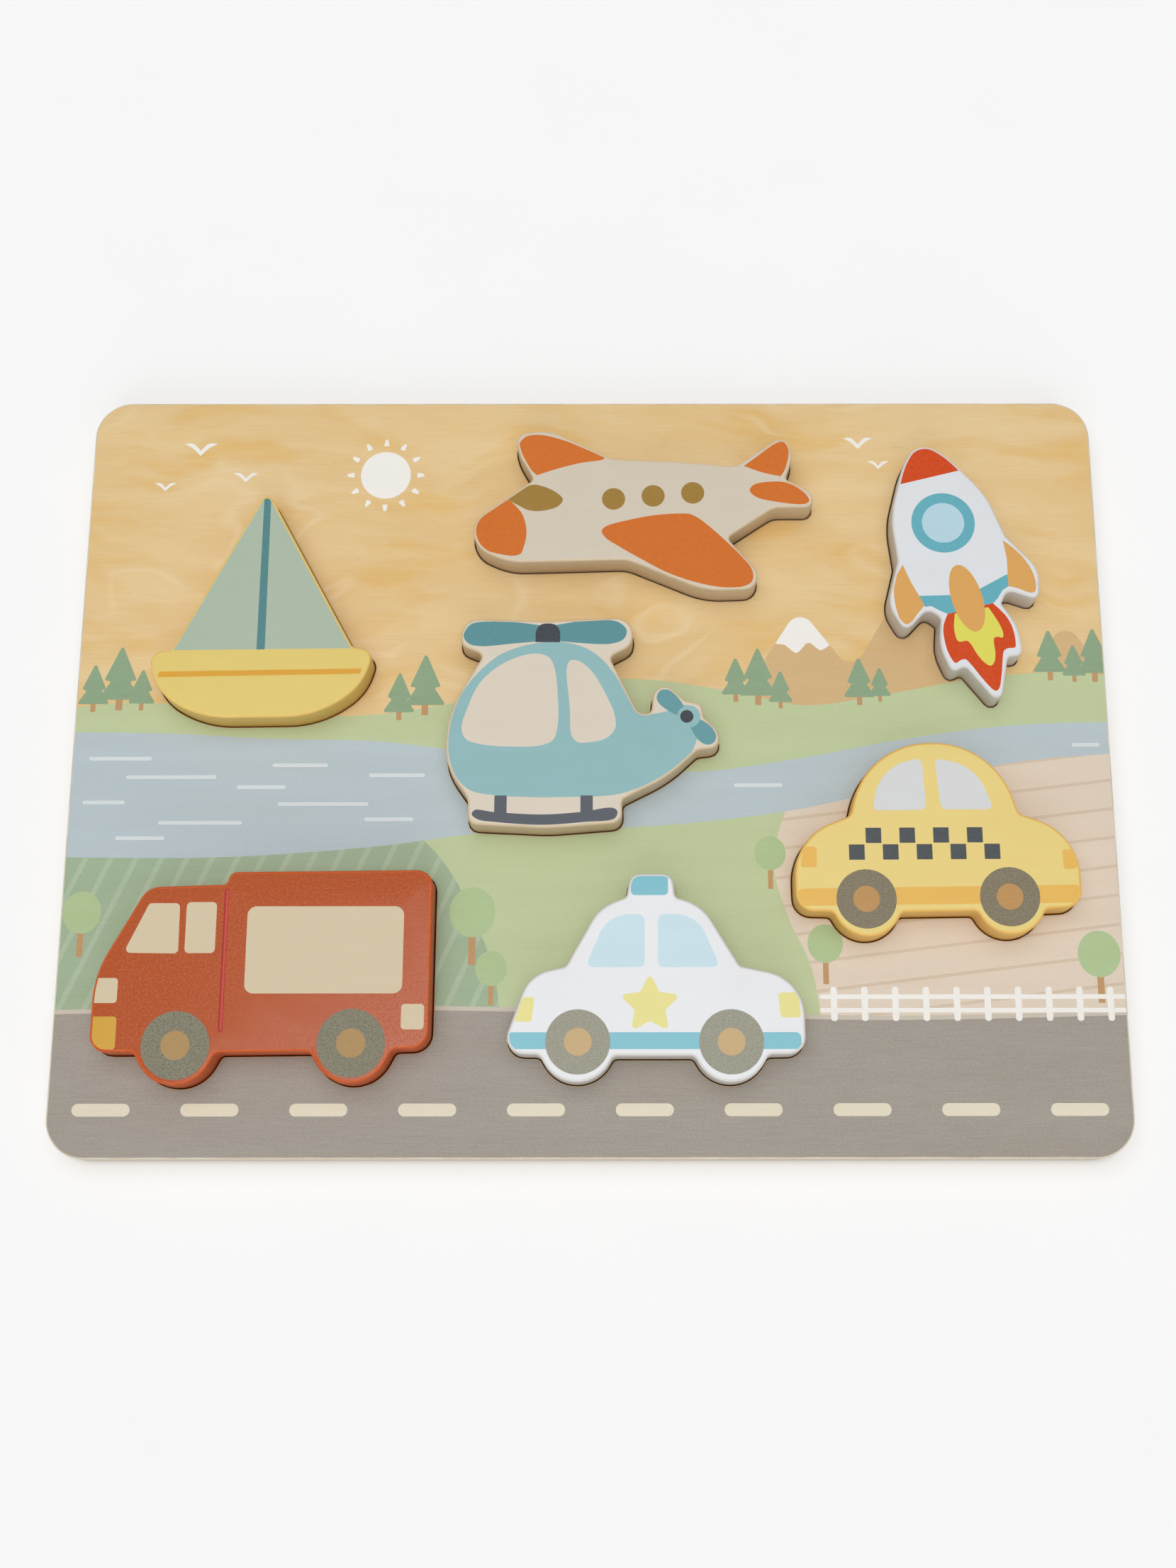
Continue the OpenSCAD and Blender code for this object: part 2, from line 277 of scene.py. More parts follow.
def finish_of(name):
    """A new material with one shader, and its node tree and its coordinates on the piece."""
    material = bpy.data.materials.new(name)
    material.use_nodes = True
    tree = material.node_tree
    tree.nodes.clear()
    shader = tree.nodes.new("ShaderNodeBsdfPrincipled")
    tree.links.new(shader.outputs[0], tree.nodes.new("ShaderNodeOutputMaterial").inputs[0])
    place = tree.nodes.new("ShaderNodeTexCoord").outputs["Object"]
    return material, tree, shader, place


def noise(tree, place, size, stretch=(1, 1, 1), detail=2.0, turn=0.0):
    """Noise with grains of about that size in mm, drawn out along the axes by the stretch."""
    scale = tuple(1 / (size * mm * s) for s in stretch)
    at = put(tree, "Mapping", {"Vector": place, "Rotation": (0, 0, -turn), "Scale": scale})
    return put(tree, "TexNoise", {"Vector": at.outputs[0], "Scale": 1.0, "Detail": detail}).outputs[0]


def span(tree, value, low, high, start=0.3, end=0.7):
    """A value between start and end spread over low to high."""
    inputs = {"Value": value, "From Min": start, "From Max": end, "To Min": low, "To Max": high}
    return put(tree, "MapRange", inputs).outputs[0]


def blended(tree, share, first, second, kind="MIX"):
    """Two colours mixed by a share."""
    made = put(tree, "Mix", {0: share, 6: first, 7: second}, data_type="RGBA", blend_type=kind)
    return made.outputs[2]


def reckon(tree, kind, *values):
    """A sum of one to three values, each a plain number or the output of another node."""
    return put(tree, "Math", dict(enumerate(values)), operation=kind).outputs[0]


def lay_on(tree, shader, colour, roughness, relief, strength, depth, shine):
    """Lays a finish on: colour, roughness, a relief of that depth in mm, and its reflections."""
    bump = put(tree, "Bump", {"Height": relief, "Strength": strength, "Distance": depth * mm})
    tree.links.new(colour, shader.inputs["Base Color"])
    tree.links.new(roughness, shader.inputs["Roughness"])
    tree.links.new(bump.outputs[0], shader.inputs["Normal"])
    shader.inputs["Specular IOR Level"].default_value = shine


def bare_wood(name, dark, light):
    """Sanded basswood: broad pale bands, fine fibres along the grain and a few short pores."""
    material, tree, shader, place = finish_of(name)
    bands = noise(tree, place, 9, (9, 1, 1), 3)
    fibres = noise(tree, place, 0.5, (26, 1, 1), 3)
    pores = noise(tree, place, 0.7, (9, 1, 1), 1)
    colour = blended(tree, span(tree, bands, 0, 1), rgb(dark), rgb(light))
    colour = blended(tree, span(tree, fibres, 0, 0.35), colour, rgb(dark), "MULTIPLY")
    colour = blended(tree, span(tree, pores, 0, 0.4, 0.68, 0.76), colour, rgb("8C6A42"))
    roughness = span(tree, fibres, 0.52, 0.68)
    lay_on(tree, shader, colour, roughness, fibres, strength=0.25, depth=0.2, shine=0.35)
    return material


def ply_edge(name, base, sheet, dark, light):
    """Sanded edge of plywood: even sheets of pale wood, every other one end grain, with thin glue
    lines between them."""
    material, tree, shader, place = finish_of(name)
    height = put(tree, "SeparateXYZ", {"Vector": place}).outputs[2]
    wander = span(tree, noise(tree, place, 14, (1, 1, 0.2)), -0.1, 0.1)
    count = reckon(tree, "MULTIPLY_ADD", height, 1 / (sheet * mm), -base / sheet)
    level = reckon(tree, "ADD", count, wander)
    part = reckon(tree, "FRACT", level)
    pair = reckon(tree, "PINGPONG", level, 1.0)
    line = reckon(tree, "ABSOLUTE", reckon(tree, "SUBTRACT", part, 0.5))
    fibres = noise(tree, place, 0.35, (8, 8, 1), 3)
    tone = blended(tree, span(tree, pair, 0, 1, 0.35, 0.65), rgb(dark), rgb(light))
    tone = blended(tree, span(tree, fibres, 0, 0.3), tone, rgb(dark), "MULTIPLY")
    tone = blended(tree, span(tree, line, 0, 0.35, 0.44, 0.49), tone, rgb("A08A68"))
    roughness = span(tree, fibres, 0.58, 0.72)
    lay_on(tree, shader, tone, roughness, fibres, strength=0.3, depth=0.2, shine=0.3)
    return material


backing_veneer = bare_wood("backing_veneer", "D2B27F", "E6CFA3")
backing_plies = ply_edge("backing_plies", 0, 1.0, "C4B394", "DCD0B8")
backing_profile = [
    (backing_break, 0.0),
    (0.15, 0.15),
    (0.0, backing_break),
    (0.0, backing_top - 0.1),
    (0.1, backing_top),
]
backing = slab(
    "backing_board_plies",
    wall_outlines("backing_board")[0],
    backing_profile,
    backing_veneer,
    backing_plies,
    backing_veneer,
)
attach(backing, "tray")
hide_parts("backing_board")

# Printed board
# A sheet of basswood plywood with seven cut-outs sawn through it, so that every piece has its place.
# A landscape is printed on the bare veneer, which shows through as the sky, under a matt varnish.
tray_top = 9.0
tray_edge_r = 0.45
cut_out_r = 0.2


def smooth(points, corners=()):
    """A closed flowing line through given points, with a break at the points that are corners."""
    stride = 0.7
    p = np.array(points, float)
    n = len(p)
    gap = np.sqrt(np.maximum(np.hypot(*(np.roll(p, -1, 0) - p).T), 1e-6))
    line = []
    for i in range(n):
        a, b, c, d = p[i - 1], p[i], p[(i + 1) % n], p[(i + 2) % n]
        g0, g1, g2 = gap[i - 1], gap[i], gap[(i + 1) % n]
        leave = c - b
        arrive = c - b
        if i not in corners:
            leave = g1 * ((b - a) / g0 - (c - a) / (g0 + g1) + (c - b) / g1)
        if (i + 1) % n not in corners:
            arrive = g1 * ((c - b) / g1 - (d - b) / (g1 + g2) + (d - c) / g2)
        steps = max(2, int(np.hypot(*(c - b)) / stride))
        for t in np.arange(steps) / steps:
            line.append(
                (2 * t**3 - 3 * t**2 + 1) * b
                + (t**3 - 2 * t**2 + t) * leave
                + (3 * t**2 - 2 * t**3) * c
                + (t**3 - t**2) * arrive
            )
    return np.array(line)


def rounded(points, r):
    """A closed line of straight sides with its corners rounded to r, or to less where a side is
    short. A list in place of r gives every corner its own radius."""
    p = np.array(points, float)
    radii = np.broadcast_to(r, len(p))
    reach = []
    for a, b, c, radius in zip(np.roll(p, 1, 0), p, np.roll(p, -1, 0), radii):
        bend = (a - b) @ (c - b) / np.hypot(*(a - b)) / np.hypot(*(c - b))
        reach.append(radius / math.tan(math.acos(bend) / 2))
    line = []
    for i, b in enumerate(p):
        j = (i + 1) % len(p)
        a = p[i - 1]
        c = p[j]
        before = np.hypot(*(a - b))
        after = np.hypot(*(c - b))
        room_before = 0.98 * before / (reach[i] + reach[i - 1])
        room_after = 0.98 * after / (reach[i] + reach[j])
        run = reach[i] * min(1.0, room_before, room_after)
        start = b + (a - b) * run / before
        end = b + (c - b) * run / after
        pull = math.sqrt((1 - (a - b) @ (c - b) / before / after) / 2)
        for t in np.linspace(0, 1, max(8, int(2 * radii[i]))):
            parts = np.array([(1 - t) ** 2, 2 * t * (1 - t) * pull, t**2])
            line.append(parts @ np.array([start, b, end]) / parts.sum())
    return np.array(line)


def bar(x0, y0, x1, y1, r):
    """An upright oblong with rounded corners."""
    return rounded([(x0, y0), (x1, y0), (x1, y1), (x0, y1)], r)


def disc(x, y, rx, ry=None):
    """A round or oval."""
    turns = np.linspace(0, 2 * math.pi, max(24, int(9 * rx)), endpoint=False)
    return np.column_stack((x + rx * np.cos(turns), y + (ry or rx) * np.sin(turns)))


def row_tree():
    """Nodes for a row of equal prints: rounded oblongs, squares or discs set out at even steps."""
    tree = bpy.data.node_groups.new("row of prints", "GeometryNodeTree")
    asked = {
        "Count": "Int",
        "First": "Vector",
        "Step": "Vector",
        "Width": "Float",
        "Height": "Float",
        "Corner": "Float",
        "Turn": "Vector",
        "Paint": "Material",
    }
    for label, kind in asked.items():
        tree.interface.new_socket(label, in_out="INPUT", socket_type="NodeSocket" + kind)
    tree.interface.new_socket("Prints", in_out="OUTPUT", socket_type="NodeSocketGeometry")
    given = tree.nodes.new("NodeGroupInput").outputs
    steps = tree.nodes.new("GeometryNodeMeshLine")
    steps.mode = "OFFSET"
    oblong = tree.nodes.new("GeometryNodeCurvePrimitiveQuadrilateral")
    corners = tree.nodes.new("GeometryNodeFilletCurve")
    corners.mode = "POLY"
    corners.inputs["Count"].default_value = 12
    corners.inputs["Limit Radius"].default_value = True
    filled = tree.nodes.new("GeometryNodeFillCurve")
    filled.mode = "NGONS"
    copies = tree.nodes.new("GeometryNodeInstanceOnPoints")
    real = tree.nodes.new("GeometryNodeRealizeInstances")
    painted = tree.nodes.new("GeometryNodeSetMaterial")
    joins = (
        (given["Count"], steps.inputs["Count"]),
        (given["First"], steps.inputs["Start Location"]),
        (given["Step"], steps.inputs["Offset"]),
        (given["Width"], oblong.inputs["Width"]),
        (given["Height"], oblong.inputs["Height"]),
        (given["Corner"], corners.inputs["Radius"]),
        (given["Turn"], copies.inputs["Rotation"]),
        (given["Paint"], painted.inputs["Material"]),
        (oblong.outputs["Curve"], corners.inputs["Curve"]),
        (corners.outputs["Curve"], filled.inputs["Curve"]),
        (steps.outputs["Mesh"], copies.inputs["Points"]),
        (filled.outputs["Mesh"], copies.inputs["Instance"]),
        (copies.outputs["Instances"], real.inputs["Geometry"]),
        (real.outputs["Geometry"], painted.inputs["Geometry"]),
        (painted.outputs["Geometry"], tree.nodes.new("NodeGroupOutput").inputs["Prints"]),
    )
    for start, end in joins:
        tree.links.new(start, end)
    return tree


print_row = row_tree()


def row_of(paint, count, first, step, width, height, corner, turn=0.0, only_in=()):
    """A print that repeats: count oblongs from the first middle point on, a step apart, in mm."""
    holder = bpy.data.objects.new("row", bpy.data.meshes.new("row"))
    bpy.context.scene.collection.objects.link(holder)
    nodes = holder.modifiers.new("row", "NODES")
    nodes.node_group = print_row
    values = {
        "Count": count,
        "First": (first[0] * mm, first[1] * mm, 0.0),
        "Step": (step[0] * mm, step[1] * mm, 0.0),
        "Width": width * mm,
        "Height": height * mm,
        "Corner": corner * mm,
        "Turn": (0.0, 0.0, math.radians(turn)),
        "Paint": paint,
    }
    for socket in print_row.interface.items_tree:
        if socket.in_out == "INPUT":
            nodes[socket.identifier] = values[socket.name]
    row = holder.evaluated_get(bpy.context.evaluated_depsgraph_get())
    made = bpy.data.meshes.new_from_object(row)
    loops = []
    for face in made.polygons:
        points = np.array([made.vertices[k].co.xy for k in face.vertices]) / mm
        apart = np.hypot(*(points - np.roll(points, 1, 0)).T) > 0.01
        loops.append(points[apart])
    bpy.data.objects.remove(holder)
    bpy.data.meshes.remove(made)
    return paint, loops, only_in


def sky_veneer(name):
    """Warm basswood veneer, matt varnished: swaying bands, yellow patches, pale curling lines and
    fine fibres."""
    material, tree, shader, place = finish_of(name)
    sway = span(tree, noise(tree, place, 34, (1.3, 1, 1), 2), -6 * mm, 6 * mm)
    lift = put(tree, "CombineXYZ", {"Y": sway}).outputs[0]
    bent = put(tree, "VectorMath", {0: place, 1: lift}, operation="ADD").outputs[0]
    bands = noise(tree, bent, 10, (7, 1, 1), 3)
    patches = noise(tree, bent, 10, (3.4, 1, 1), 3)
    curls = noise(tree, bent, 16, (2.6, 1, 1), 1)
    curls = reckon(tree, "ABSOLUTE", reckon(tree, "SUBTRACT", curls, 0.5))
    curls = span(tree, curls, 0.5, 0, 0, 0.04)
    figured = span(tree, noise(tree, place, 42, detail=1), 0, 1, 0.5, 0.62)
    curls = reckon(tree, "MULTIPLY", curls, figured)
    fibres = noise(tree, place, 0.45, (30, 1, 1), 3)
    flecks = noise(tree, place, 0.8, (6, 1, 1), 1)
    colour = blended(tree, span(tree, bands, 0, 1), rgb("DABA82"), rgb("E0C593"))
    colour = blended(tree, span(tree, patches, 0, 0.75, 0.5, 0.68), colour, rgb("DAB26A"))
    colour = blended(tree, curls, colour, rgb("E6D1A8"))
    colour = blended(tree, span(tree, flecks, 0, 0.14, 0.66, 0.76), colour, rgb("BF9560"))
    colour = blended(tree, span(tree, fibres, 0, 0.12), colour, rgb("DDBF8C"), "MULTIPLY")
    roughness = span(tree, fibres, 0.48, 0.6)
    lay_on(tree, shader, colour, roughness, fibres, strength=0.2, depth=0.15, shine=0.3)
    return material


def board_ink(name, code, grain=0.1, speckle=0.13):
    """Matt printing ink on veneer: a finely speckled colour in which the grain of the wood still
    shows faintly."""
    material, tree, shader, place = finish_of(name)
    bands = noise(tree, place, 8, (9, 1, 1), 3)
    fibres = noise(tree, place, 0.5, (22, 1, 1), 3)
    specks = noise(tree, place, 0.32, (1.4, 1, 1), 3)
    tone = blended(tree, span(tree, bands, 0, grain), rgb(code), rgb("CDB694"), "MULTIPLY")
    tone = blended(tree, span(tree, fibres, 0, grain / 2), tone, rgb("F4E8D4"))
    tone = blended(tree, span(tree, specks, 0, speckle), tone, rgb("B7AB98"), "MULTIPLY")
    roughness = span(tree, specks, 0.5, 0.64)
    lay_on(tree, shader, tone, roughness, fibres, strength=0.15, depth=0.15, shine=0.3)
    return material


cream_ink = board_ink("board_cream", "E0D8C2")
white_ink = board_ink("board_white", "F0EEEA")
water_ink = board_ink("board_water", "B3C2C9")
ripple_ink = board_ink("board_ripple", "D3DCDF")
far_green_ink = board_ink("board_far_green", "BAC79A")
sage_ink = board_ink("board_sage", "98AF90")
fir_ink = board_ink("board_fir", "84A07E")
leaf_ink = board_ink("board_leaf", "A9C08E")
tan_ink = board_ink("board_tan", "CFAE7B")
trunk_ink = board_ink("board_trunk", "B98F5E")
beige_ink = board_ink("board_beige", "DCCDBB")
furrow_ink = board_ink("board_furrow", "D0BEA8")
crop_ink = board_ink("board_crop", "A6BA9E")
road_ink = board_ink("board_road", "9F9991", grain=0.13, speckle=0.36)
kerb_ink = board_ink("board_kerb", "C6BDB0")

mountain_line = [
    (34, 5), (61, 47), (76, 27), (97, 62), (124, 20), (139, 43), (160, 12), (160, -10), (34, -10),
]
mountains = [rounded(mountain_line, 4)]
snow_line = [(52, 36), (61, 52), (71, 36), (67, 33.5), (63.5, 36.5), (60, 32.5), (56.5, 35.5)]
snow = [rounded(snow_line, 1.2)]
far_bank = smooth(
    [(-160, 15), (-132, 18), (-100, 14.5), (-66, 14), (-44, 17), (-20, 22), (12, 25), (42, 21),
     (62, 17), (84, 20), (112, 25), (136, 27), (160, 25), (160, -60), (-160, -60)],
    corners=(0, 12, 13, 14),
)
far_shore = [
    (-160, 9), (-122, 8.5), (-95, 7), (-60, 6), (-30, 2), (0, -2), (30, -3), (60, 1), (92, 7),
    (124, 11), (160, 12),
]
near_shore = [
    (-160, -28), (-104, -28), (-62, -25), (-30, -21), (0, -20), (30, -18), (60, -14), (95, -6),
    (124, 0), (160, 3),
]
river = smooth(far_shore + near_shore[::-1], corners=(0, 10, 11, 20))
near_bank = smooth([*near_shore, (160, -130), (-160, -130)], corners=(0, 9, 10, 11))
sage_field = smooth(
    [(-160, -15), (-60, -15), (-47, -24), (-39, -34), (-32, -48), (-27, -62), (-24, -90),
     (-160, -90)],
    corners=(0, 1, 6, 7),
)
beige_field = smooth(
    [(160, 10), (70, 10), (56, -14), (52, -30), (56, -46), (62, -60), (66, -90), (160, -90)],
    corners=(0, 1, 6, 7),
)
kerb_width = 1.2
road_edge = [(160, -73), (80, -74.5), (0, -72.5), (-80, -71.5), (-160, -73)]
kerb_edge = [(x, y + kerb_width) for x, y in road_edge]
road = smooth([(-160, -130), (0, -130), (160, -130), *road_edge], corners=(0, 2, 3, 7))
kerb = smooth([(-160, -131), (0, -131), (160, -131), *kerb_edge], corners=(0, 2, 3, 7))
ripple_half = 0.55
ripple_places = (
    (-136, 1, 9), (-121, -4.5, 13), (-140, -12, 6), (-112, -18, 12), (-84, -1, 8), (-77, -12.5, 13),
    (-95, -7.5, 7), (-56, -4, 8), (-58, -17, 7), (-129, -22.5, 7), (48, -7, 7), (143, 5, 4),
)
ripples = [
    bar(x - half, y - ripple_half, x + half, y + ripple_half, 0.5) for x, y, half in ripple_places
]
sun_middle = np.array((-62.0, 89.0))
sun_r = 7.5
ray_count = 12
ray_start = 9.4
ray_length = 3.6
ray_half = 0.9
sun = [disc(*sun_middle, sun_r)]
for k in range(ray_count):
    angle = math.radians(360 / ray_count * k)
    out = np.array((math.cos(angle), math.sin(angle)))
    across = ray_half * np.array((-out[1], out[0]))
    foot = sun_middle + ray_start * out
    sun.append(rounded([foot - across, foot + across, foot + ray_length * out], 0.45))
bird_shape = [
    (-5, 2.2), (-2.4, 2.3), (0, 0), (2.4, 2.3), (5, 2.2), (2.6, 0.9), (0, -1.7), (-2.6, 0.9),
]
bird_places = ((-118, 97, 1.0), (-104, 88, 0.75), (-128, 85, 0.65), (80, 99, 0.9), (86, 92, 0.65))
birds = [
    smooth([(x + s * a, y + s * b) for a, b in bird_shape], corners=(0, 2, 4, 6))
    for x, y, s in bird_places
]
fir_shape = [
    (-0.32, 0.16), (0.32, 0.16), (0.13, 0.45), (0.24, 0.45), (0, 1), (-0.24, 0.45), (-0.13, 0.45),
]
fir_places = (
    (-145, 15, 15), (-137.5, 15.5, 20), (-131, 15.5, 13), (-56, 12.5, 15), (-48.5, 14, 19),
    (42, 18, 14), (48.5, 17, 18), (55, 16, 12), (78, 17, 15), (84, 18, 11), (134, 24.5, 16),
    (141, 24, 12), (147, 24, 17),
)
firs = [rounded([(x + h * a, y + h * b) for a, b in fir_shape], 0.5) for x, y, h in fir_places]
fir_trunks = [bar(x - 0.05 * h, y, x + 0.05 * h, y + 0.2 * h, 0.3) for x, y, h in fir_places]
round_trees = (
    (-144, -44, 5.5), (-33.5, -44, 6.5), (-28, -60, 4.5), (66, -53, 5), (143, -56, 6), (51, -27, 4.5),
)
crowns = [disc(x, y, r, 1.1 * r) for x, y, r in round_trees]
trunks = [bar(x - 0.16 * r, y - 2.3 * r, x + 0.16 * r, y - 0.3 * r, 0.3) for x, y, r in round_trees]
crop_area = [sage_field, near_bank]
furrow_area = [beige_field, near_bank]
landscape = [
    (white_ink, sun, ()),
    (white_ink, birds, ()),
    (tan_ink, mountains, ()),
    (white_ink, snow, mountains),
    (far_green_ink, [far_bank], ()),
    (trunk_ink, fir_trunks, ()),
    (fir_ink, firs, ()),
    (water_ink, [river], ()),
    (ripple_ink, ripples, [river]),
    (far_green_ink, [near_bank], ()),
    (sage_ink, [sage_field], [near_bank]),
    row_of(
        crop_ink, 22, (-168, -50), (7.2, 0), width=1.5, height=90, corner=0.7, turn=-24,
        only_in=crop_area,
    ),
    (beige_ink, [beige_field], [near_bank]),
    row_of(
        furrow_ink, 9, (110, -2), (0, -8.4), width=120, height=0.9, corner=0.4, turn=7,
        only_in=furrow_area,
    ),
    (trunk_ink, trunks, ()),
    (leaf_ink, crowns, ()),
    (kerb_ink, [kerb], ()),
    (road_ink, [road], ()),
    row_of(cream_ink, 10, (-135, -99.2), (30, 0), width=16, height=3.5, corner=1.7),
    row_of(white_ink, 10, (68, -70), (8.6, 0), width=1.8, height=9.6, corner=0.8),
    row_of(white_ink, 2, (107, -68), (0, -3.8), width=86, height=1.3, corner=0.6),
]
tray_wood = bare_wood("tray_underside", "CBAB78", "E0C89B")
tray_plies = ply_edge("tray_plies", backing_top, 1.2, "CDC1A9", "DDD4C3")
tray_sawn = ply_edge("tray_sawn_edge", backing_top, 1.2, "C8A273", "DDC094")
tray_foot = [(0.15, backing_top), (0.0, backing_top + 0.15)]
tray = slab(
    "tray_board_print",
    wall_outlines("tray_board")[0],
    tray_foot + rounded_rim(tray_edge_r, tray_top, 4),
    tray_wood,
    tray_plies,
    sky_veneer("sky_veneer"),
    landscape,
    hole_profile=tray_foot + rounded_rim(cut_out_r, tray_top, 4),
    hole_edge=tray_sawn,
)
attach(tray, "tray")
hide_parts("tray_board")

# Sailboat
# Sawn from thick wood with its top edge rounded over, painted yellow all round and printed on top.
# The underside stays bare. It stands loose in its cut-out and lifts out by the edge.
piece_foot = 3.0
piece_top = 18.0
foot_break = 0.4
piece_wood = bare_wood("piece_underside", "CDAF80", "E3CDA5")


def puzzle_piece(node, edge, face, prints, hollows=()):
    """A puzzle piece on the outline of its CAD node: bare underside, broken foot, painted sides and
    round rim."""
    outlines, rim_start = wall_outlines(node)
    profile = [(foot_break, piece_foot), (0.1, piece_foot + 0.15), (0.0, piece_foot + foot_break)]
    profile += rounded_rim(piece_top - rim_start, piece_top, 6)
    return slab(node + "_painted", outlines, profile, piece_wood, edge, face, prints, hollows)


def piece_paint(
    name, code, sheen=(0.34, 0.46), peel=0.07, specks=0.03, turn=0.0, shine=0.17, grit=0.55,
):
    """Sprayed satin paint on close-grained wood: small mottling, a trace of grain and a skin with
    fine pimples. Sheen is the range of roughness, peel the height of the pimples, specks the share of
    pale dots and grit the size of both in mm."""
    material, tree, shader, place = finish_of(name)
    grain = noise(tree, place, 0.7, (16, 1, 1), 3, turn)
    mottle = noise(tree, place, 6, (2.5, 1, 1), 2, turn)
    pebbles = noise(tree, place, grit, (1.2, 1, 1), 2)
    tone = blended(tree, span(tree, mottle, 0, 0.06), rgb(code), rgb("D8CCBC"), "MULTIPLY")
    tone = blended(tree, span(tree, grain, 0, 0.035), tone, rgb("CFC2B0"), "MULTIPLY")
    tone = blended(tree, span(tree, pebbles, 0, specks), tone, rgb("FFF8EC"))
    roughness = span(tree, pebbles, *sheen)
    pimples = span(tree, pebbles, 0, 1, 0.55, 0.76)
    skin = reckon(tree, "MULTIPLY_ADD", grain, 0.2, pimples)
    lay_on(tree, shader, tone, roughness, skin, strength=peel, depth=0.3, shine=shine)
    return material


def edge_paint(name, code, rubbed, sheen=(0.4, 0.52)):
    """The same paint round the edge, rubbed paler in small spots along the rounded rim. It is darker
    and
    browner towards the foot: painted shade, and the paint thinner there over the wood."""
    material, tree, shader, place = finish_of(name)
    height = put(tree, "SeparateXYZ", {"Vector": place}).outputs[2]
    rim = span(tree, height, 0, 1, (piece_top - 1.0) * mm, (piece_top - 0.3) * mm)
    spots = span(tree, noise(tree, place, 1.6, (1, 1, 0.6), 4), 0, 0.4, 0.62, 0.78)
    worn = reckon(tree, "MULTIPLY", rim, spots)
    brush = noise(tree, place, 1.1, (5, 5, 1), 3)
    pebbles = noise(tree, place, 0.55)
    tone = blended(tree, span(tree, brush, 0, 0.2), rgb(code), rgb("D3C6B4"), "MULTIPLY")
    # Painted shade: the sides turn darker and browner towards the foot, with thinner paint over the
    # wood there.
    foot_shade_and_thinning = span(tree, height, 0.7, 0.15, 6 * mm, 17 * mm)
    tone = blended(tree, foot_shade_and_thinning, tone, rgb("D6BD9A"), "MULTIPLY")
    tone = blended(tree, worn, tone, rgb(rubbed))
    roughness = span(tree, pebbles, *sheen)
    lay_on(tree, shader, tone, roughness, pebbles, strength=0.12, depth=0.3, shine=0.3)
    return material


boat_yellow = piece_paint("boat_yellow", "DDC56D")
boat_edge = edge_paint("boat_edge", "ECCB72", "F4E4A8")
sail_sage = piece_paint("sail_sage", "A7B7A4")
mast_teal = piece_paint("mast_teal", "477E82")
stripe_orange = piece_paint("boat_stripe_orange", "D79E29")
sail = np.array([(-140.0, 30.7), (-60.0, 31.6), (-60.0, 95.0), (-140.0, 95.0)])
mast = np.array([(-96.5, 31.1), (-94.1, 31.2), (-94.3, 80.0), (-96.3, 80.0)])
hull_stripe = [(-124.6, 22.8), (-66.5, 23.8), (-65.9, 25.4), (-124.0, 24.5)]
# Sail and mast are drawn past the rim, which cuts them off
boat_prints = [
    (sail_sage, [sail], ()),
    (mast_teal, [mast], ()),
    (stripe_orange, [rounded(hull_stripe, 0.3)], ()),
]
boat = puzzle_piece("sailboat", boat_edge, boat_yellow, boat_prints)
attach(boat, "sailboat")
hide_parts("sailboat")

# Aeroplane
# Sawn and rounded like the sailboat and painted beige. The wings, the tail and the nose are printed
# orange inside a narrow beige border, the cockpit and the row of three windows olive.
plane_beige = piece_paint("plane_beige", "CEC3B1")
plane_edge = edge_paint("plane_edge", "D9CAB0", "EAE2D0")
plane_orange = piece_paint("plane_orange", "CC6915", shine=0.12)
plane_olive = piece_paint("plane_olive", "967324")
nose = [
    (-24, 77.2), (-20.4, 72.8), (-19.1, 67.3), (-19.9, 62.4), (-20.8, 60.4), (-22.8, 59.8),
    (-28, 60.6), (-33, 62.2), (-50, 58), (-50, 80),
]
cockpit = [
    (-25, 77.6), (-18, 82), (-15.1, 81.8), (-10.7, 79.8), (-8.5, 77.5), (-9.9, 75.3), (-15.1, 73.8),
    (-18.7, 74.1), (-21.3, 75.4),
]
upper_wing = [
    (-21.7, 94.5), (-19.8, 97.3), (-15.8, 98), (-8.5, 96.3), (-1.9, 93.4), (3.8, 90.6), (3.3, 90.1),
    (-3.3, 89), (-10.7, 87), (-16.2, 85.1), (-17.6, 86.4), (-20.6, 91.2),
]
lower_wing = [
    (2.9, 67.6), (4, 68.9), (11.3, 71.1), (18.7, 72.5), (26, 73), (28.9, 72.8), (31.5, 71.4),
    (36.3, 67.3), (41.4, 62.2), (45.4, 57.8), (47.1, 54.1), (46.5, 51.6), (43.6, 50.2),
    (37.7, 50.1), (30.4, 51.6), (22.3, 54.5), (15, 58.5), (7.7, 62.9), (4, 65.5),
]
tail_fin = [
    (44.9, 88), (48, 90.4), (54.6, 95.3), (56.7, 95.8), (58.1, 93.7), (58.1, 90.8), (56.8, 86.4),
    (55.7, 84.7), (50.2, 86),
]
tail_plane = [
    (46.5, 80.2), (47.6, 82), (54.6, 83.1), (58.3, 82.4), (62.7, 79.4), (64, 76.9), (62.7, 76),
    (55.3, 76.5), (48.4, 78.2),
]
wings = [smooth(upper_wing, corners=(9,)), smooth(lower_wing)]
tail = [smooth(tail_fin, corners=(0, 7)), smooth(tail_plane)]


def row_of_discs(paint, count, first, step, across):
    """A row of equal discs."""
    return row_of(paint, count, first, step, across, across, across / 2)


plane_prints = [
    (plane_olive, [smooth(cockpit, corners=(0,))], ()),
    (plane_orange, [smooth(nose, corners=(0, 7, 8, 9)), *wings], ()),
    (plane_orange, tail, ()),
    row_of_discs(plane_olive, 3, (6.4, 77.6), (11.65, 0.95), across=6.8),
]
plane = puzzle_piece("aeroplane", plane_edge, plane_beige, plane_prints)
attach(plane, "aeroplane")
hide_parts("aeroplane")

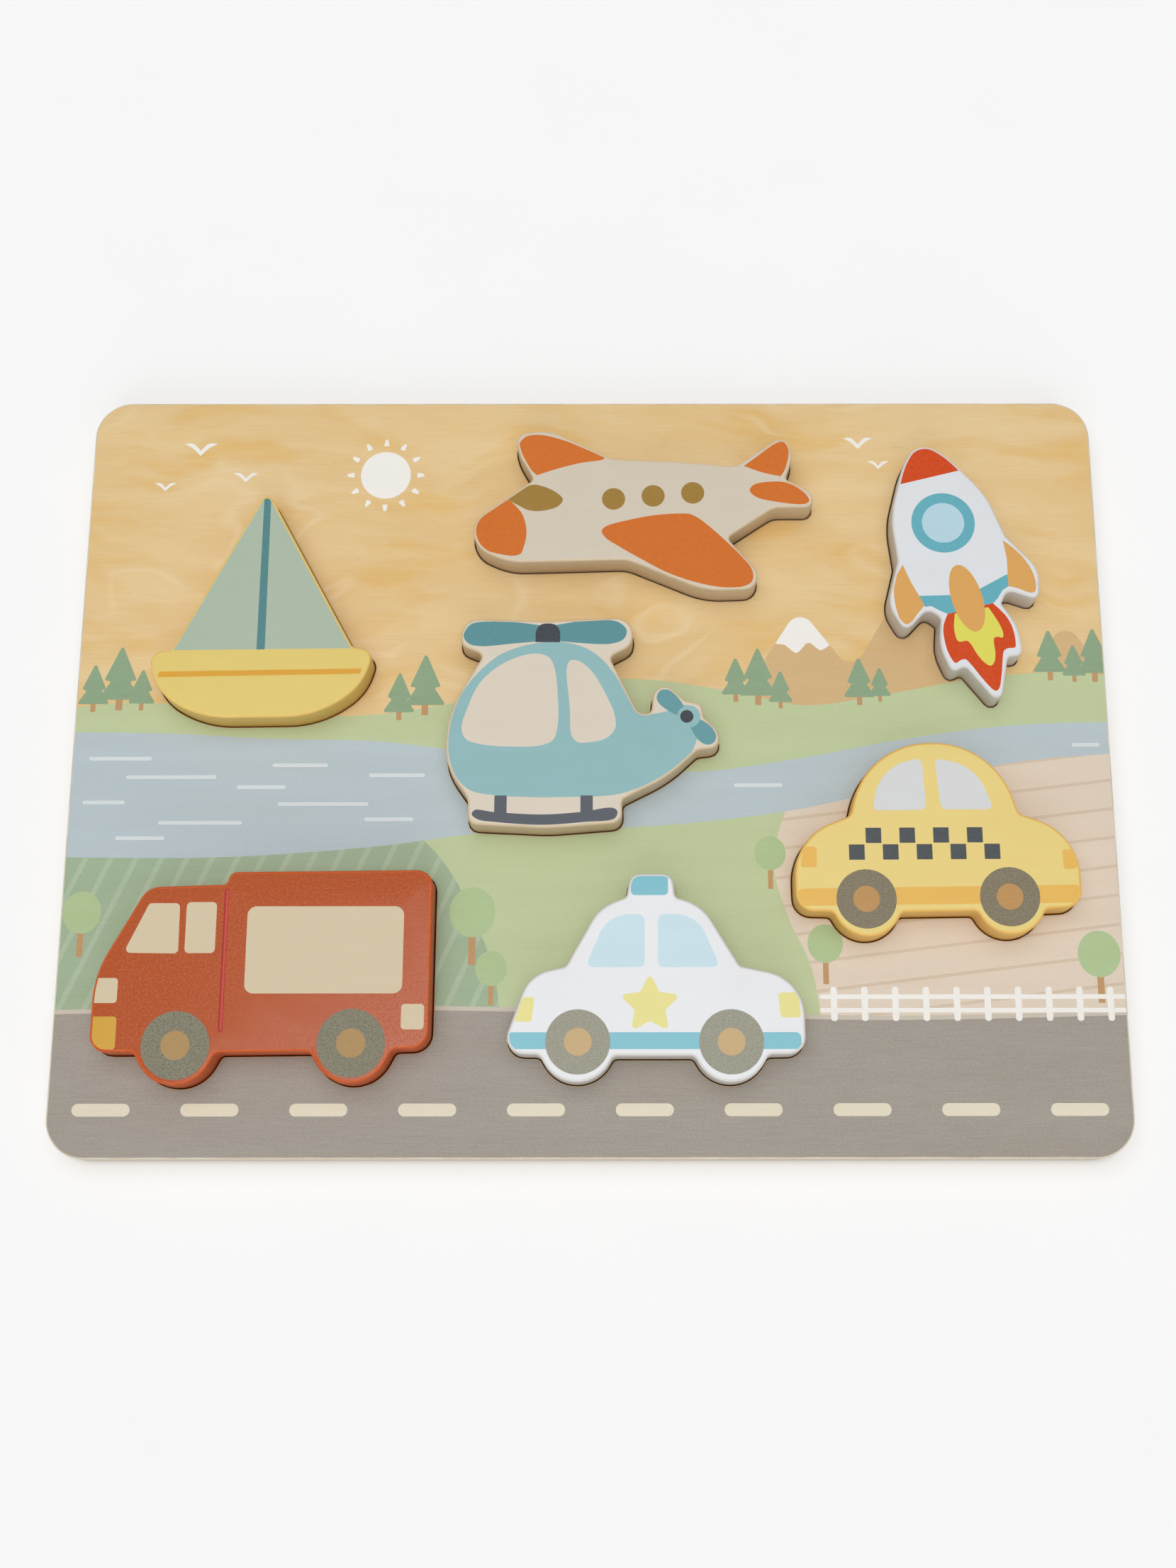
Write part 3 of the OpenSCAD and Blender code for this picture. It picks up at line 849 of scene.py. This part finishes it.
# Rocket
# Painted white all round, with a red nose, a teal porthole, tan fins and a red and yellow flame
# printed inside the white border. It leans to the left in its cut-out.
rocket_middle = (108.0, 55.5)
rocket_lean = math.radians(14)
rocket_white = piece_paint("rocket_white", "DADDE1", turn=rocket_lean)
rocket_edge = edge_paint("rocket_edge", "DBDBDD", "EDEBE6")
rocket_red = piece_paint("rocket_red", "CC4305", turn=rocket_lean, shine=0.08)
rocket_teal = piece_paint("rocket_teal", "5BA7B6", turn=rocket_lean)
porthole_blue = piece_paint("porthole_blue", "B0D0DD", turn=rocket_lean)
fin_tan = piece_paint("fin_tan", "D59E52", turn=rocket_lean)
flame_yellow = piece_paint("flame_yellow", "D9D354", turn=rocket_lean)


def leant(line):
    """Points drawn on the upright rocket, turned as it leans on the board."""
    x0, y0 = rocket_middle
    c = math.cos(rocket_lean)
    s = math.sin(rocket_lean)
    return np.array([(x0 + c * x - s * y, y0 + s * x + c * y) for x, y in line])


nose_cone = [(-20.0, 30.0), (15.0, 30.0), (15.0, 50.0), (-20.0, 50.0)]
left_fin = [
    (-16.4, 5.6), (-19.5, 2.3), (-21.3, -2), (-22, -7), (-21.7, -10.5), (-20.5, -12.3), (-19, -12),
    (-16.5, -10), (-13.8, -8), (-14.4, -5), (-15.6, 0),
]
right_fin = [
    (14.1, 5.9), (13.5, 0), (12.3, -5), (11.6, -8.2), (14, -9.5), (17, -11.6), (18.4, -11.8),
    (19.4, -10), (19.7, -6), (18.6, -1.5), (16.5, 2.6),
]
left_band = [
    (-14.8, -4.7), (-4, -7.1), (-4, -12.1), (-8, -12.1), (-10, -10.5), (-12, -8.6), (-13.7, -8.5),
]
right_band = [(2, -7.3), (12.4, -4.5), (11.6, -8.2), (9.5, -9), (7.5, -11), (5.8, -12.1), (2, -12.1)]
flame_outer = [
    (-8, -12), (-10.3, -15.5), (-11.2, -20), (-11.1, -24), (-10, -27), (-8.5, -26.5), (-7, -26.5),
    (-5.8, -28.5), (-4, -33), (-1.8, -37.3), (-1, -37.8), (0, -37.2), (1.8, -33.5), (3.7, -28.5),
    (4.5, -26.8), (6, -26.3), (8, -26.6), (8.6, -25), (9, -21), (8.3, -17), (6.5, -13.5),
    (5.6, -12),
]
flame_inner = [
    (-6, -12.5), (-7.5, -17), (-7.5, -20.7), (-6.5, -21.2), (-5, -21.2), (-4.2, -22.3), (-3.2, -26),
    (-1.8, -29), (-0.5, -30.2), (0.8, -29.5), (1.9, -27), (2.5, -23.5), (3, -22.3), (4.2, -22.3),
    (5.3, -22.9), (5.9, -21.5), (5.5, -18), (4, -13),
]
bands = [leant(rounded(left_band, 0.2)), leant(rounded(right_band, 0.2))]
fins = [leant(smooth(left_fin, corners=(0, 8))), leant(smooth(right_fin, corners=(0, 3)))]
middle_fin = leant(disc(-1.2, -8.8, 4.5, 10.5))
porthole = (-1.3, 15.3)
porthole_r = 9.3
porthole_glass_r = 6.2
rocket_prints = [
    (rocket_red, [leant(nose_cone), leant(smooth(flame_outer, corners=(0, 21)))], ()),
    (rocket_teal, [leant(disc(*porthole, porthole_r)), *bands], ()),
    (porthole_blue, [leant(disc(*porthole, porthole_glass_r))], ()),
    (flame_yellow, [leant(smooth(flame_inner, corners=(0, 17)))], ()),
    (fin_tan, fins, ()),
    (fin_tan, [middle_fin], ()),
]
rocket = puzzle_piece("rocket", rocket_edge, rocket_white, rocket_prints)
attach(rocket, "rocket")
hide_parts("rocket")

# Helicopter
# Painted cream all round, with a teal cabin, darker teal rotor blades and a charcoal hub and skid
# printed on top. The two windows are left in the cream of the ground coat.
heli_cream = piece_paint("heli_cream", "D6CBBA")
heli_edge = edge_paint("heli_edge", "D9C8AB", "EBE2CF")
cabin_teal = piece_paint("cabin_teal", "89B3B6")
blade_teal = piece_paint("blade_teal", "4E8990")
tail_blade_teal = piece_paint("tail_blade_teal", "5A939A")
hub_charcoal = piece_paint("hub_charcoal", "28313B")
skid_charcoal = piece_paint("skid_charcoal", "4C525B")
left_blade = [
    (-36.9, 35.2), (-34.9, 38.7), (-28.4, 39.6), (-21.4, 39.3), (-14.5, 38.4), (-14.5, 33.6),
    (-22.5, 32.9), (-31.9, 32.1), (-35.4, 32.9),
]
right_blade = [
    (-10.8, 38.4), (-3.8, 39.6), (3.9, 40.1), (8, 39.3), (10.2, 37), (9.4, 34.3), (6.2, 32.9),
    (2.1, 32.7), (-10.5, 33.7),
]
rotor_hub = [
    (-16.1, 33.3), (-9, 33.3), (-9.2, 37), (-10.6, 38.7), (-12.6, 39), (-14.5, 38.7), (-15.9, 37),
]
cabin = [
    (-12.6, 33.4), (-20.2, 32), (-26.6, 29.3), (-32.5, 24.1), (-37.2, 17.6), (-39.8, 10.6),
    (-40.6, 4.1), (-40.1, -1.8), (-37.8, -7.3), (-34.3, -10.6), (-28.4, -12), (-16.7, -12.7),
    (-4.9, -12.6), (6.8, -12), (12.7, -10.3), (21.5, -6.2), (27.3, -1.2), (29.7, 2.9), (30.9, 12),
    (27.3, 14.4), (21.5, 12.5), (15, 11.7), (12.7, 12.9), (10.3, 17), (6.8, 23.5), (2.7, 28.5),
    (-2, 31.7), (-7.9, 33.3),
]
front_window = [
    (-36.9, 7.6), (-35.4, 13.5), (-31.9, 21.1), (-26.1, 26.4), (-19.6, 29.3), (-14.9, 29.8),
    (-12, 28.5), (-10.5, 25.2), (-9.6, 17.6), (-9.5, 8.8), (-10.8, 4.1), (-14.3, 2.5), (-22.5, 2.1),
    (-31.3, 2.8), (-35.7, 4.4),
]
side_window = [
    (-7, 25.8), (-6.1, 27.7), (-3.8, 27.7), (-0.2, 24.9), (3.9, 18.2), (6.8, 11.1), (6.8, 7.3),
    (4.5, 4.7), (-0.2, 3.4), (-3.8, 3.4), (-5.5, 5.3), (-6.1, 13.5),
]
tail_blade_up = [
    (18.7, 16.6), (19.7, 18.7), (21.9, 19), (23.8, 17.7), (26.4, 14.2), (26.6, 11.6), (24.3, 11.5),
    (21.2, 13.3), (19.3, 15),
]
tail_blade_down = [
    (28.1, 8.7), (29, 10.6), (31.2, 10.1), (34.3, 7.8), (35.6, 5.4), (35, 3.3), (33.2, 2.6),
    (31.2, 3.4), (29.5, 5.5),
]
skid = [
    (-32.8, -16.4), (-27.2, -17), (-13.7, -17.7), (-3, -17), (6.2, -15.8), (7.5, -16.7),
    (6.8, -18.8), (-2, -19.9), (-13.7, -20.7), (-26.6, -19.9), (-31.9, -19.1), (-33.6, -17.6),
]
blades = [smooth(left_blade, corners=(4, 5)), smooth(right_blade, corners=(0, 8))]
tail_blades = [smooth(tail_blade_up), smooth(tail_blade_down)]
tail_hub = disc(27.9, 11, 3.3)
tail_pin = disc(27.3, 11, 1.9)
heli_prints = [
    (cabin_teal, [smooth(cabin)], ()),
    (heli_cream, [smooth(front_window), smooth(side_window)], ()),
    (blade_teal, blades, ()),
    (tail_blade_teal, tail_blades, ()),
    (cabin_teal, [tail_hub], ()),
    (hub_charcoal, [smooth(rotor_hub, corners=(0, 1)), tail_pin], ()),
    row_of(skid_charcoal, 2, (-25.5, -15), (24.3, 0), width=3.5, height=5.6, corner=0.2),
    (skid_charcoal, [smooth(skid)], ()),
]
heli = puzzle_piece("helicopter", heli_edge, heli_cream, heli_prints)
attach(heli, "helicopter")
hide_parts("helicopter")

# Van
# The heaviest piece, sprayed in a thick glossy brick-red lacquer that dries pebbled and shows
# orange on the rounded rim. A round-bottomed groove is carved between cab and load box and painted
# by brush.
van_gloss = (0.12, 0.2)
wheel_sheen = (0.34, 0.48)
tyre_grit = 0.42
hub_specks = 0.04
van_red = piece_paint("van_red", "AF4905", van_gloss, peel=0.12, shine=0.13, grit=0.6)
van_edge = edge_paint("van_edge", "CA5715", "E89058", sheen=(0.32, 0.42))
van_groove = piece_paint("van_groove_red", "C14E45", sheen=(0.35, 0.45))
van_cream = piece_paint("van_cream", "D1C0A1", sheen=(0.38, 0.5), peel=0.2, specks=0.06)
van_amber = piece_paint("van_amber", "CE9E34", sheen=(0.32, 0.44), peel=0.2)
van_tyre = piece_paint("van_tyre_grey", "615D42", wheel_sheen, peel=0.3, specks=0.2, grit=tyre_grit)
van_hub = piece_paint("van_hub_tan", "A98753", wheel_sheen, peel=0.3, specks=hub_specks)
windscreen = [(-129.1, -56.9), (-114, -57.1), (-114.2, -43), (-122.7, -43)]
groove_line = bar(-101.95, -78.8, -100.65, -38.8, 0.64)[::-1]
groove_shape = [(0.08, 0.1), (0.17, 0.32), (0.3, 0.5), (0.45, 0.61), (0.58, 0.65)]
groove_steps = [(inward, piece_top - deep) for inward, deep in groove_shape]
cab_window = bar(-112.3, -57, -103.9, -42.7, 1.2)
box_window = bar(-95.3, -68.2, -51.8, -43.9, 2.5)
head_lamp = bar(-141, -70.8, -130.1, -63.9, 1.0)
rear_lamp = bar(-51.9, -78.1, -45.6, -71.1, 1.0)
amber_lamp = bar(-141, -83.6, -129.8, -74.5, 1.0)


def wheels(tyre, hub, first, step, tyre_across, hub_across):
    """Two printed wheels: a row of tyres, and a row of hubs on the same middles."""
    return [
        row_of_discs(tyre, 2, first, step, tyre_across),
        row_of_discs(hub, 2, first, step, hub_across),
    ]


van_prints = [
    (van_cream, [rounded(windscreen, 1.2), cab_window, box_window], ()),
    (van_cream, [head_lamp, rear_lamp], ()),
    (van_amber, [amber_lamp], ()),
    *wheels(van_tyre, van_hub, (-113.4, -82.4), (48, 0.6), tyre_across=18.8, hub_across=8),
]
van = puzzle_piece("van", van_edge, van_red, van_prints, [(groove_line, groove_steps, van_groove)])
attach(van, "van")
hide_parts("van")

# Police car
# Painted white all round, with pale blue windows, a teal beacon and bumper stripe, yellow lights
# and a plain five-pointed star printed on the door. The wheels are grey discs with tan hubs.
police_white = piece_paint("police_white", "E5E7EA")
police_edge = edge_paint("police_edge", "E0E0E1", "F0EFEB")
police_glass = piece_paint("police_window_blue", "C4DDE7")
police_teal = piece_paint("police_teal", "80BFCD")
beacon_teal = piece_paint("police_beacon_teal", "7BBCCA")
police_yellow = piece_paint("police_yellow", "E4DC8E")
police_tyre = piece_paint("police_tyre_grey", "878674", specks=0.17, grit=tyre_grit)
police_hub = piece_paint("police_hub_tan", "C3A576", specks=hub_specks)
left_glass = [(-1.4, -61), (4.8, -46.2), (15, -46.2), (15, -61)]
right_glass = [(18.7, -61), (18.7, -46.2), (29.6, -46.2), (35.9, -61)]
left_light = [(-19.9, -69.4), (-15.3, -69.2), (-16.1, -76.1), (-21.3, -75.9)]
right_light = [(51.6, -68.1), (57.2, -67.9), (57.9, -74.9), (52.3, -74.9)]
star_x = 16.4
star_y = -71.4
star_tip = 8.9
star_dip = 4.45
star = []
for k in range(10):
    reach = star_dip if k % 2 else star_tip
    angle = math.radians(90 + 36 * k)
    star.append((star_x + reach * math.cos(angle), star_y + reach * math.sin(angle)))
police_windows = [rounded(left_glass, [1.4, 9, 1.8, 1.6]), rounded(right_glass, [1.6, 1.8, 9, 1.4])]
police_lights = [rounded(left_light, 0.9), rounded(right_light, 0.9)]
beacon = bar(11.2, -40.8, 21.6, -35.1, 1.2)
bumper_stripe = bar(-23, -83.5, 57.8, -78.9, 1.6)
police_prints = [
    (police_glass, police_windows, ()),
    (beacon_teal, [beacon], ()),
    (police_teal, [bumper_stripe], ()),
    (police_yellow, [rounded(star, 0.9), *police_lights], ()),
    *wheels(police_tyre, police_hub, (-3.4, -81.5), (42.1, 0), tyre_across=17.8, hub_across=7.6),
]
police = puzzle_piece("police_car", police_edge, police_white, police_prints)
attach(police, "police_car")
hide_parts("police_car")

# Taxi
# Painted yellow all round, with pale grey windows, two staggered rows of charcoal squares on the
# side, and orange lights and bumper. The wheels are grey discs with tan hubs.
taxi_yellow = piece_paint("taxi_yellow", "E4CD7D")
taxi_edge = edge_paint("taxi_edge", "ECC066", "F4E2A6")
taxi_glass = piece_paint("taxi_window_grey", "D2D3D4")
check_charcoal = piece_paint("check_charcoal", "3E4449")
taxi_orange = piece_paint("taxi_orange", "E3B353")
taxi_tyre = piece_paint("taxi_tyre_grey", "6F664B", specks=0.11, grit=tyre_grit)
taxi_hub = piece_paint("taxi_hub_tan", "B6894D", specks=hub_specks)
taxi_left_glass = [(79.5, -16.6), (81.6, -4.2), (93.8, -1.2), (94.6, -16.4)]
taxi_right_glass = [(97.4, -1.2), (109.2, -3.9), (113.5, -16.3), (98.8, -16.3)]
taxi_left_light = [(58.6, -33), (63.3, -33), (63.3, -27), (59.7, -27)]
taxi_right_light = [(132.4, -33.7), (136.3, -33.2), (135.5, -27.9), (132.1, -27.7)]
taxi_bumper = [(57.7, -43.9), (136.9, -43.0), (136.9, -37.9), (57.4, -39)]
taxi_windows = [
    rounded(taxi_left_glass, [1.2, 13, 1.6, 1.6]),
    rounded(taxi_right_glass, [1.6, 13, 1.2, 1.6]),
]
taxi_lights = [rounded(taxi_left_light, 0.9), rounded(taxi_right_light, 0.9)]
check_step = (9.5, 0.05)
check_side = 4.4
check_corner = 0.15
taxi_prints = [
    (taxi_glass, taxi_windows, ()),
    row_of(check_charcoal, 4, (79.4, -23.8), check_step, check_side, check_side, check_corner),
    row_of(check_charcoal, 5, (74.6, -28.6), check_step, check_side, check_side, check_corner),
    (taxi_orange, [*taxi_lights, rounded(taxi_bumper, 1.8)], ()),
    *wheels(taxi_tyre, taxi_hub, (76.9, -41.9), (40, 0.6), tyre_across=16.8, hub_across=7.4),
]
taxi = puzzle_piece("taxi", taxi_edge, taxi_yellow, taxi_prints)
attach(taxi, "taxi")
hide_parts("taxi")

# Studio
# A plain pale floor in a white room, under a wide soft lamp overhead and a little behind, a smaller
# lamp straight above and a weak low one from the front. The camera stands in front of the board and
# looks steeply down on it.
scene = bpy.context.scene
scene.view_settings.view_transform = "Standard"

floor_mesh = bpy.data.meshes.new("floor")
floor_half = 4.0
floor_level = -0.0002
floor_corners = [(-1, -1), (1, -1), (1, 1), (-1, 1)]
floor_places = [(floor_half * x, floor_half * y, floor_level) for x, y in floor_corners]
floor_mesh.from_pydata(floor_places, [], [(0, 1, 2, 3)])
floor_paper, floor_tree, floor_shader, floor_place = finish_of("floor_paper")
floor_grain = noise(floor_tree, floor_place, 40)
floor_tone = blended(floor_tree, span(floor_tree, floor_grain, 0, 1), rgb("F7F7F7"), rgb("F8F8F8"))
floor_tree.links.new(floor_tone, floor_shader.inputs["Base Color"])
floor_shader.inputs["Roughness"].default_value = 0.95
floor_shader.inputs["Specular IOR Level"].default_value = 0.0
floor_mesh.materials.append(floor_paper)
floor = bpy.data.objects.new("floor", floor_mesh)
scene.collection.objects.link(floor)

world = bpy.data.worlds.new("studio")
world.use_nodes = True
world_tree = world.node_tree
world_tree.nodes.clear()
room_light = put(world_tree, "Background", {"Color": (1, 1, 1, 1), "Strength": 0.27})
backdrop = put(world_tree, "Background", {"Color": rgb("F7F7F7"), "Strength": 1.0})
ray = put(world_tree, "LightPath", {}).outputs
shown = ray["Is Camera Ray"]
for kind in ("Is Glossy Ray", "Is Transmission Ray"):
    shown = reckon(world_tree, "MAXIMUM", shown, ray[kind])
room = put(world_tree, "MixShader", {0: shown, 1: room_light.outputs[0], 2: backdrop.outputs[0]})
world_tree.links.new(room.outputs[0], world_tree.nodes.new("ShaderNodeOutputWorld").inputs[0])
scene.world = world

for lamp_name, toward, share, spread in (
    ("key_lamp", (-0.08, 0.15, 0.98), 0.38, 70),
    ("top_lamp", (-0.04, 0.02, 1.0), 0.25, 19),
    ("front_lamp", (0.03, -0.9, 0.42), 0.1, 60),
):
    direction = Vector(toward).normalized()
    lamp = bpy.data.lights.new(lamp_name, "SUN")
    lamp.energy = share * math.pi / direction.z
    lamp.angle = math.radians(spread)
    lamp_holder = bpy.data.objects.new(lamp_name, lamp)
    lamp_holder.rotation_euler = direction.to_track_quat("Z", "Y").to_euler()
    scene.collection.objects.link(lamp_holder)

photo_height = 2212
focal_px = 2640.0
camera_place = Vector((7.8, -137.4, 531.5)) * mm
forward = Vector((0.0008, 0.2466, -0.9691)).normalized()
right = Vector((1.0, -0.0008, 0.0006))
right = (right - forward * right.dot(forward)).normalized()
upward = right.cross(forward)
lens = bpy.data.cameras.new("camera")
lens.sensor_width = 36.0
lens.lens = focal_px * lens.sensor_width / photo_height
lens.shift_x = -0.0204
lens.shift_y = -0.0047
lens.clip_start = 0.01
camera = bpy.data.objects.new("camera", lens)
turned = Matrix((right, upward, -forward)).transposed()
camera.matrix_world = Matrix.Translation(camera_place) @ turned.to_4x4()
scene.collection.objects.link(camera)
scene.camera = camera
